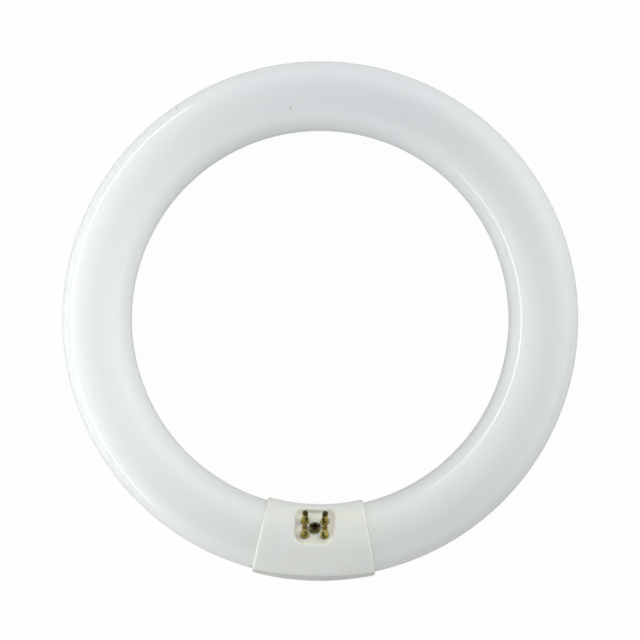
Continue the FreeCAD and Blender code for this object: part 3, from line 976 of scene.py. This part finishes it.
    def build_front(self) -> bpy.types.Object:
        """Build the front shell as one skin: pocket, outside, edges, bore, tub and its floor's underside.

        Returns:
            The front shell.
        """
        half = Half.FRONT
        pocket = self.pocket_loops()
        outside = self.spread(half, self.shell_shares(half, pocket[-1]), self.inner_box, self.skin_radius)
        tub_sizes = self.pocket_length + 2 * self.tub_wall, self.pocket_width + 2 * self.tub_wall
        tub = rounded_loop(self.box, *tub_sizes, self.pocket_corner + self.tub_wall)
        root = self.on_tube(half, tub, self.bore_radius)
        bore = self.spread(half, self.box, self.shell_shares(half, root), self.bore_radius)
        underside = [self.flat(tub * share, self.floor_height - self.tub_floor) for share in (1.0, 0.6, 0.2)]
        loops = [pocket, outside[1:-1], self.edge_loops(half), bore[1:], np.stack(underside)]
        return seat(closed_mesh("lamp_base_front", np.concatenate(loops)), "base_front_shell")

    def build_back(self) -> bpy.types.Object:
        """Build the back shell as one skin: outside, edges, bore, screw boss and pilot hole.

        Returns:
            The back shell.
        """
        half = Half.BACK
        outside = self.spread(half, self.inner_box * 0.02, self.inner_box, self.skin_radius)
        ray = self.box / np.linalg.norm(self.box, axis=1, keepdims=True)
        root = self.on_tube(half, ray * self.boss_radius, self.bore_radius)
        bore = self.spread(half, self.box, self.shell_shares(half, root), self.bore_radius)
        heights = (self.boss_radius, self.boss_height), (self.pilot_radius, self.boss_height)
        heights += (self.pilot_radius, self.pilot_floor), (0.2 * self.pilot_radius, self.pilot_floor)
        boss = [self.flat(ray * radius, height) for radius, height in heights]
        loops = [outside[:-1], self.edge_loops(half), bore[1:], np.stack(boss)]
        return seat(closed_mesh("lamp_base_back", np.concatenate(loops)), "base_back_shell")

    def dress(self, shells: tuple[bpy.types.Object, ...]) -> None:
        """Dress the shells in one plastic.

        Args:
            shells: The front and the back shell.
        """
        plastic = MouldedPlastic(self.ring, self.skin_radius, self.floor_height).make()
        for shell in shells:
            paint(shell, plastic)

    def build(self) -> None:
        """Build both shells and dress them."""
        self.dress((self.build_front(), self.build_back()))


@dataclass
class ContactPins:
    """The hollow brass pins: riveted tail, collar on the floor, barrel, crimped waist and rounded head."""

    base: LampBase
    spacing_along: float = 7.92 * MM
    spacing_across: float = 6.35 * MM
    radius: float = 1.15 * MM
    length: float = 7.39 * MM  # above the pocket's floor
    collar_radius: float = 1.75 * MM
    collar_height: float = 1.2 * MM
    collar_round: float = 0.4 * MM
    waist_depth: float = 0.2 * MM
    waist_length: float = 1.1 * MM  # with its slopes
    head_length: float = 1.6 * MM  # above the waist
    tail_radius: float = 1.5 * MM  # flare under the floor
    tail_height: float = 0.5 * MM
    bore_radius: float = 0.6 * MM
    grip_radius: float = 0.38 * MM  # bore in the waist and head, crimped on the wire
    cap: float = 0.9 * MM  # closed end above the bore
    inner_head_reflection: Colour = (0.04, 0.032, 0.012)  # painted dark reflection on the heads of the inner row
    outer_head_reflection: Colour = (0.2, 0.13, 0.04)  # painted dark reflection on the heads of the outer row
    round_count: int = 48

    def __post_init__(self) -> None:
        """Work out where the head starts."""
        self.head_start = self.length - self.head_length

    def profile(self) -> np.ndarray:
        """Lay out half a pin's section, from the closed end of the bore, round the tail and up to the tip.

        Returns:
            Pairs of radius and height.
        """
        underside = -self.base.tub_floor
        tail = underside - self.tail_height
        waist_low = self.head_start - self.waist_length
        grip_low = waist_low + self.waist_depth
        bore_end = self.length - self.cap
        inside = [(0.3 * self.grip_radius, bore_end), (self.grip_radius, bore_end)]
        inside += [(self.grip_radius, grip_low), (self.bore_radius, waist_low), (self.bore_radius, tail)]
        below = [(self.tail_radius, tail), (self.tail_radius, underside), (self.radius, underside)]
        below += [(self.radius, 0.0), (self.collar_radius, 0.0)]
        collar_middle = self.collar_radius - self.collar_round, self.collar_height - self.collar_round
        collar = arc(collar_middle, self.collar_round, 0, 90, 8)
        share = np.linspace(0, 1, 15)
        dip = self.waist_depth * np.sin(math.pi * share) ** 0.6
        waist = np.stack([self.radius - dip, waist_low + self.waist_length * share], axis=-1)
        tip = arc((0.0, self.length - self.radius), self.radius, 0, 84, 14)
        barrel = np.array([(self.radius, self.collar_height)])
        return np.concatenate([np.array(inside + below), collar, barrel, waist, tip])

    def build_pin(self, row: Row, side: Side) -> bpy.types.Object:
        """Build one pin by turning its profile on its axis.

        Args:
            row: Row of the pin.
            side: Side of the pin.

        Returns:
            The pin.
        """
        turn = full_turn(self.round_count)
        radius, height = self.profile().T[:, :, None]
        along = side.value * self.spacing_along / 2 + radius * np.cos(turn)
        across = row.value * self.spacing_across / 2 + radius * np.sin(turn)
        points = self.base.ring.at_base(along, across, self.base.floor_height + height)
        name = corner_name(row, side)
        return seat(closed_mesh(f"brass_pin_{name}", points), f"contact_pin_{name}")

    def dress(self, row: Row, pins: list[bpy.types.Object]) -> None:
        """Dress a row of pins in one brass, with that row's painted reflection on the heads.

        Args:
            row: The row.
            pins: Its pins.
        """
        base = self.base
        sizes = self.collar_height, self.head_start, self.spacing_along / 2, self.radius
        head_reflection = self.inner_head_reflection if row is Row.INNER else self.outer_head_reflection
        brass = PinBrass(base.ring, base.floor_height, *sizes, head_reflection).make()
        for pin in pins:
            paint(pin, brass)

    def build(self) -> None:
        """Build the pins and dress them, row by row."""
        for row in Row:
            self.dress(row, [self.build_pin(row, side) for side in Side])


@dataclass
class BaseScrew:
    """The domed screw with a cross recess that holds the shells together."""

    base: LampBase
    head_radius: float = 2.5 * MM
    head_height: float = 1.7 * MM
    rim_height: float = 0.6 * MM  # upright edge of the head
    rim_round: float = 0.2 * MM
    shank_radius: float = 1.15 * MM  # without its thread
    length: float = 14 * MM  # under the head
    point: float = 1.2 * MM  # tapered
    recess_length: float = 2.9 * MM  # arm to arm
    recess_width: float = 0.75 * MM
    recess_depth: float = 1 * MM
    recess_edge: float = 0.16 * MM  # slope at its sides
    round_count: int = 144
    dome_rows: int = 56

    def slot(self, along: np.ndarray, across: np.ndarray) -> np.ndarray:
        """Give a share of 1 in a slot as long and wide as the recess, easing to 0 over its edge's width."""
        sides = (self.recess_length / 2, along), (self.recess_width / 2, across)
        return math.prod(ease((half - np.abs(place)) / self.recess_edge + 0.5) for half, place in sides)

    def dress(self, screw: bpy.types.Object) -> None:
        """Dress the screw in bronze, shaded about the middle of its head."""
        middle = self.base.ring.at_base(0.0, 0.0, self.base.floor_height + self.rim_height)
        paint(screw, ScrewBronze(tuple(middle.tolist()), self.head_radius).make())

    def build(self) -> None:
        """Build the screw and dress it.

        The dome is a cap of a sphere through the rim and the crown, less the recess, which is as deep as the
        larger share of two crossed slots. Below it the rim, the seat and the shank are turned on the axis.
        """
        crown = self.head_height - self.rim_height
        sphere = (self.head_radius**2 + crown**2) / (2 * crown)
        out = np.linspace(0.02, 1.0, self.dome_rows) * (self.head_radius - self.rim_round)
        dome = self.head_height - sphere + np.sqrt(sphere**2 - out**2)
        rim_middle = self.head_radius - self.rim_round, dome[-1] - self.rim_round
        rim = arc(rim_middle, self.rim_round, 70, 0, 5)
        shank = [(self.head_radius, 0.0), (self.shank_radius, 0.0)]
        shank += [(self.shank_radius, self.point - self.length), (0.05 * self.shank_radius, -self.length)]
        profile = np.concatenate([np.stack([out, dome], axis=-1), rim, np.array(shank)])
        radius, height = profile.T[:, :, None]
        turn = full_turn(self.round_count)
        along, across = radius * np.cos(turn), radius * np.sin(turn)
        recess = self.recess_depth * np.maximum(self.slot(along, across), self.slot(across, along))
        on_dome = (np.arange(len(radius)) < self.dome_rows)[:, None]
        height = self.base.floor_height + height - np.where(on_dome, recess, 0.0)
        points = self.base.ring.at_base(along, across, height)
        self.dress(seat(closed_mesh("base_clamp_screw", points), "base_screw"))


@dataclass
class LeadWires:
    """The wires between the sealed ends and the pins, which stay as they are modelled."""

    nodes: dict[str, bpy.types.Object]

    def dress(self) -> None:
        """Dress every wire in tin, and report it."""
        tin = TinnedWire().make()
        for name in (corner_name(row, side) for row in Row for side in Side):
            paint(self.nodes[f"lead_wire_{name}"], tin)
            log.info("lead_wire_%s: kept as modelled", name)


@dataclass(frozen=True)
class SoftLamp:
    """A soft rectangular lamp."""

    name: str
    place: Point
    size: Pair
    power: float  # in watts
    aim: Point = (0.0, 0.0, 0.0)  # point that it faces
    mirrored: bool = False  # shown in reflections

    def build(self) -> None:
        """Hang the lamp out of the camera's sight."""
        data = bpy.data.lights.new(self.name, "AREA")
        data.shape = "RECTANGLE"
        data.size, data.size_y = self.size
        data.energy = self.power
        lamp = bpy.data.objects.new(self.name, data)
        lamp.location = self.place
        lamp.rotation_euler = (Vector(self.aim) - Vector(self.place)).to_track_quat("-Z", "Y").to_euler()
        lamp.visible_camera = False
        lamp.visible_glossy = self.mirrored
        bpy.context.scene.collection.objects.link(lamp)


@dataclass
class Studio:
    """White floor and surroundings, soft lamps round the ring and a camera over it."""

    floor_height: float
    floor_reach: float = 4.0
    wall: Colour = (0.67, 0.67, 0.67)  # light at the horizon
    ceiling: Colour = (0.0, 0.0, 0.0)  # light from overhead
    wall_seen: Colour = (1.0, 1.0, 1.0)  # reflected at the horizon
    ceiling_seen: Colour = (0.3, 0.3, 0.3)  # reflected from overhead
    dimming: Pair = (0.2, 0.95)  # rises between which walls give way to ceiling
    camera_distance: float = 0.55
    view_width: float = 0.2605  # at the ring's plane
    camera_roll: float = math.radians(1.5)
    camera_offset: Pair = (-0.08 * MM, -0.28 * MM)  # off the ring's axis
    lamps: tuple[SoftLamp, ...] = (  # a low strip that the glass mirrors, and lamps that only light
        SoftLamp("strip", (-0.44, -0.038, 0.042), (1.21, 0.034), 0.88, (0.056, -0.1, 0.02), mirrored=True),
        SoftLamp("soft_box", (-0.22, 0.0, 0.4), (0.5, 0.4), 1.2, (-0.1, 0.0, 0.0)),
        SoftLamp("fill", (0.7, 0.6, 0.5), (1.0, 0.8), 6.0),
        SoftLamp("front", (0.0, -0.8, 0.4), (1.0, 0.6), 2.0),
        SoftLamp("back", (0.0, 0.8, 0.14), (1.0, 0.2), 1.05),
        SoftLamp("right", (0.8, 0.0, 0.2), (1.0, 0.3), 0.84),
        SoftLamp("left", (-0.6, -0.25, 0.15), (0.8, 0.2), 0.8),
    )

    def build_floor(self) -> None:
        """Lay the floor, a square sheet."""
        corners = box_loop(1) * self.floor_reach
        mesh = bpy.data.meshes.new("floor")
        mesh.from_pydata([(x, y, self.floor_height) for x, y in corners.tolist()], [], [range(len(corners))])
        floor = bpy.data.objects.new("floor", mesh)
        bpy.context.scene.collection.objects.link(floor)
        floor.data.materials.append(FloorPaper().make())
        floor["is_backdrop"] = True

    def build_world(self) -> None:
        """Surround the lamp with plain light that dims towards the ceiling."""
        world = bpy.data.worlds.new("surroundings")
        world.use_nodes = True
        bpy.context.scene.world = world
        shader = Shader(world.node_tree)
        rise = shader.along((0.0, 0.0, 1.0)).between(*self.dimming)
        lighting = shader.mix(rise, self.wall, self.ceiling)
        colour = shader.mix(shader.seen(), lighting, shader.mix(rise, self.wall_seen, self.ceiling_seen))
        light = shader.node("ShaderNodeBackground", None, {"Color": colour, "Strength": 1.0})
        shader.finish(light, "ShaderNodeOutputWorld")

    def build_camera(self) -> None:
        """Set the camera over the ring's centre, looking down its axis."""
        data = bpy.data.cameras.new("camera")
        data.lens = data.sensor_width * self.camera_distance / self.view_width
        camera = bpy.data.objects.new("camera", data)
        camera.location = (*self.camera_offset, self.camera_distance)
        camera.rotation_euler = (0.0, 0.0, self.camera_roll)
        bpy.context.scene.collection.objects.link(camera)
        bpy.context.scene.camera = camera

    def build(self) -> None:
        """Build the whole studio."""
        self.build_floor()
        self.build_world()
        for lamp in self.lamps:
            lamp.build()
        self.build_camera()
        bpy.context.scene.view_settings.view_transform = "Standard"


def main() -> None:
    """Build the lamp's pieces and the studio in order."""
    logging.basicConfig(level=logging.INFO, format="%(name)s: %(message)s")
    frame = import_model()
    solids_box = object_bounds()
    mounts = {mount["name"]: mount for mount in frame["record"]["mounts"]}
    _, inwards, upwards = mounts["pin_inner_left"]["axis"]
    low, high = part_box("glass_tube")
    tube_radius = (high.z - low.z) / 2
    ring = RingFrame((high.x - low.x) / 2 - tube_radius, math.atan2(inwards, upwards))

    GlassRing(ring, tube_radius).build()
    base = LampBase(ring)
    base.build()
    ContactPins(base).build()
    BaseScrew(base).build()
    LeadWires(frame["nodes"]).dress()
    Studio(solids_box[0].z).build()


if __name__ == "__main__":
    main()
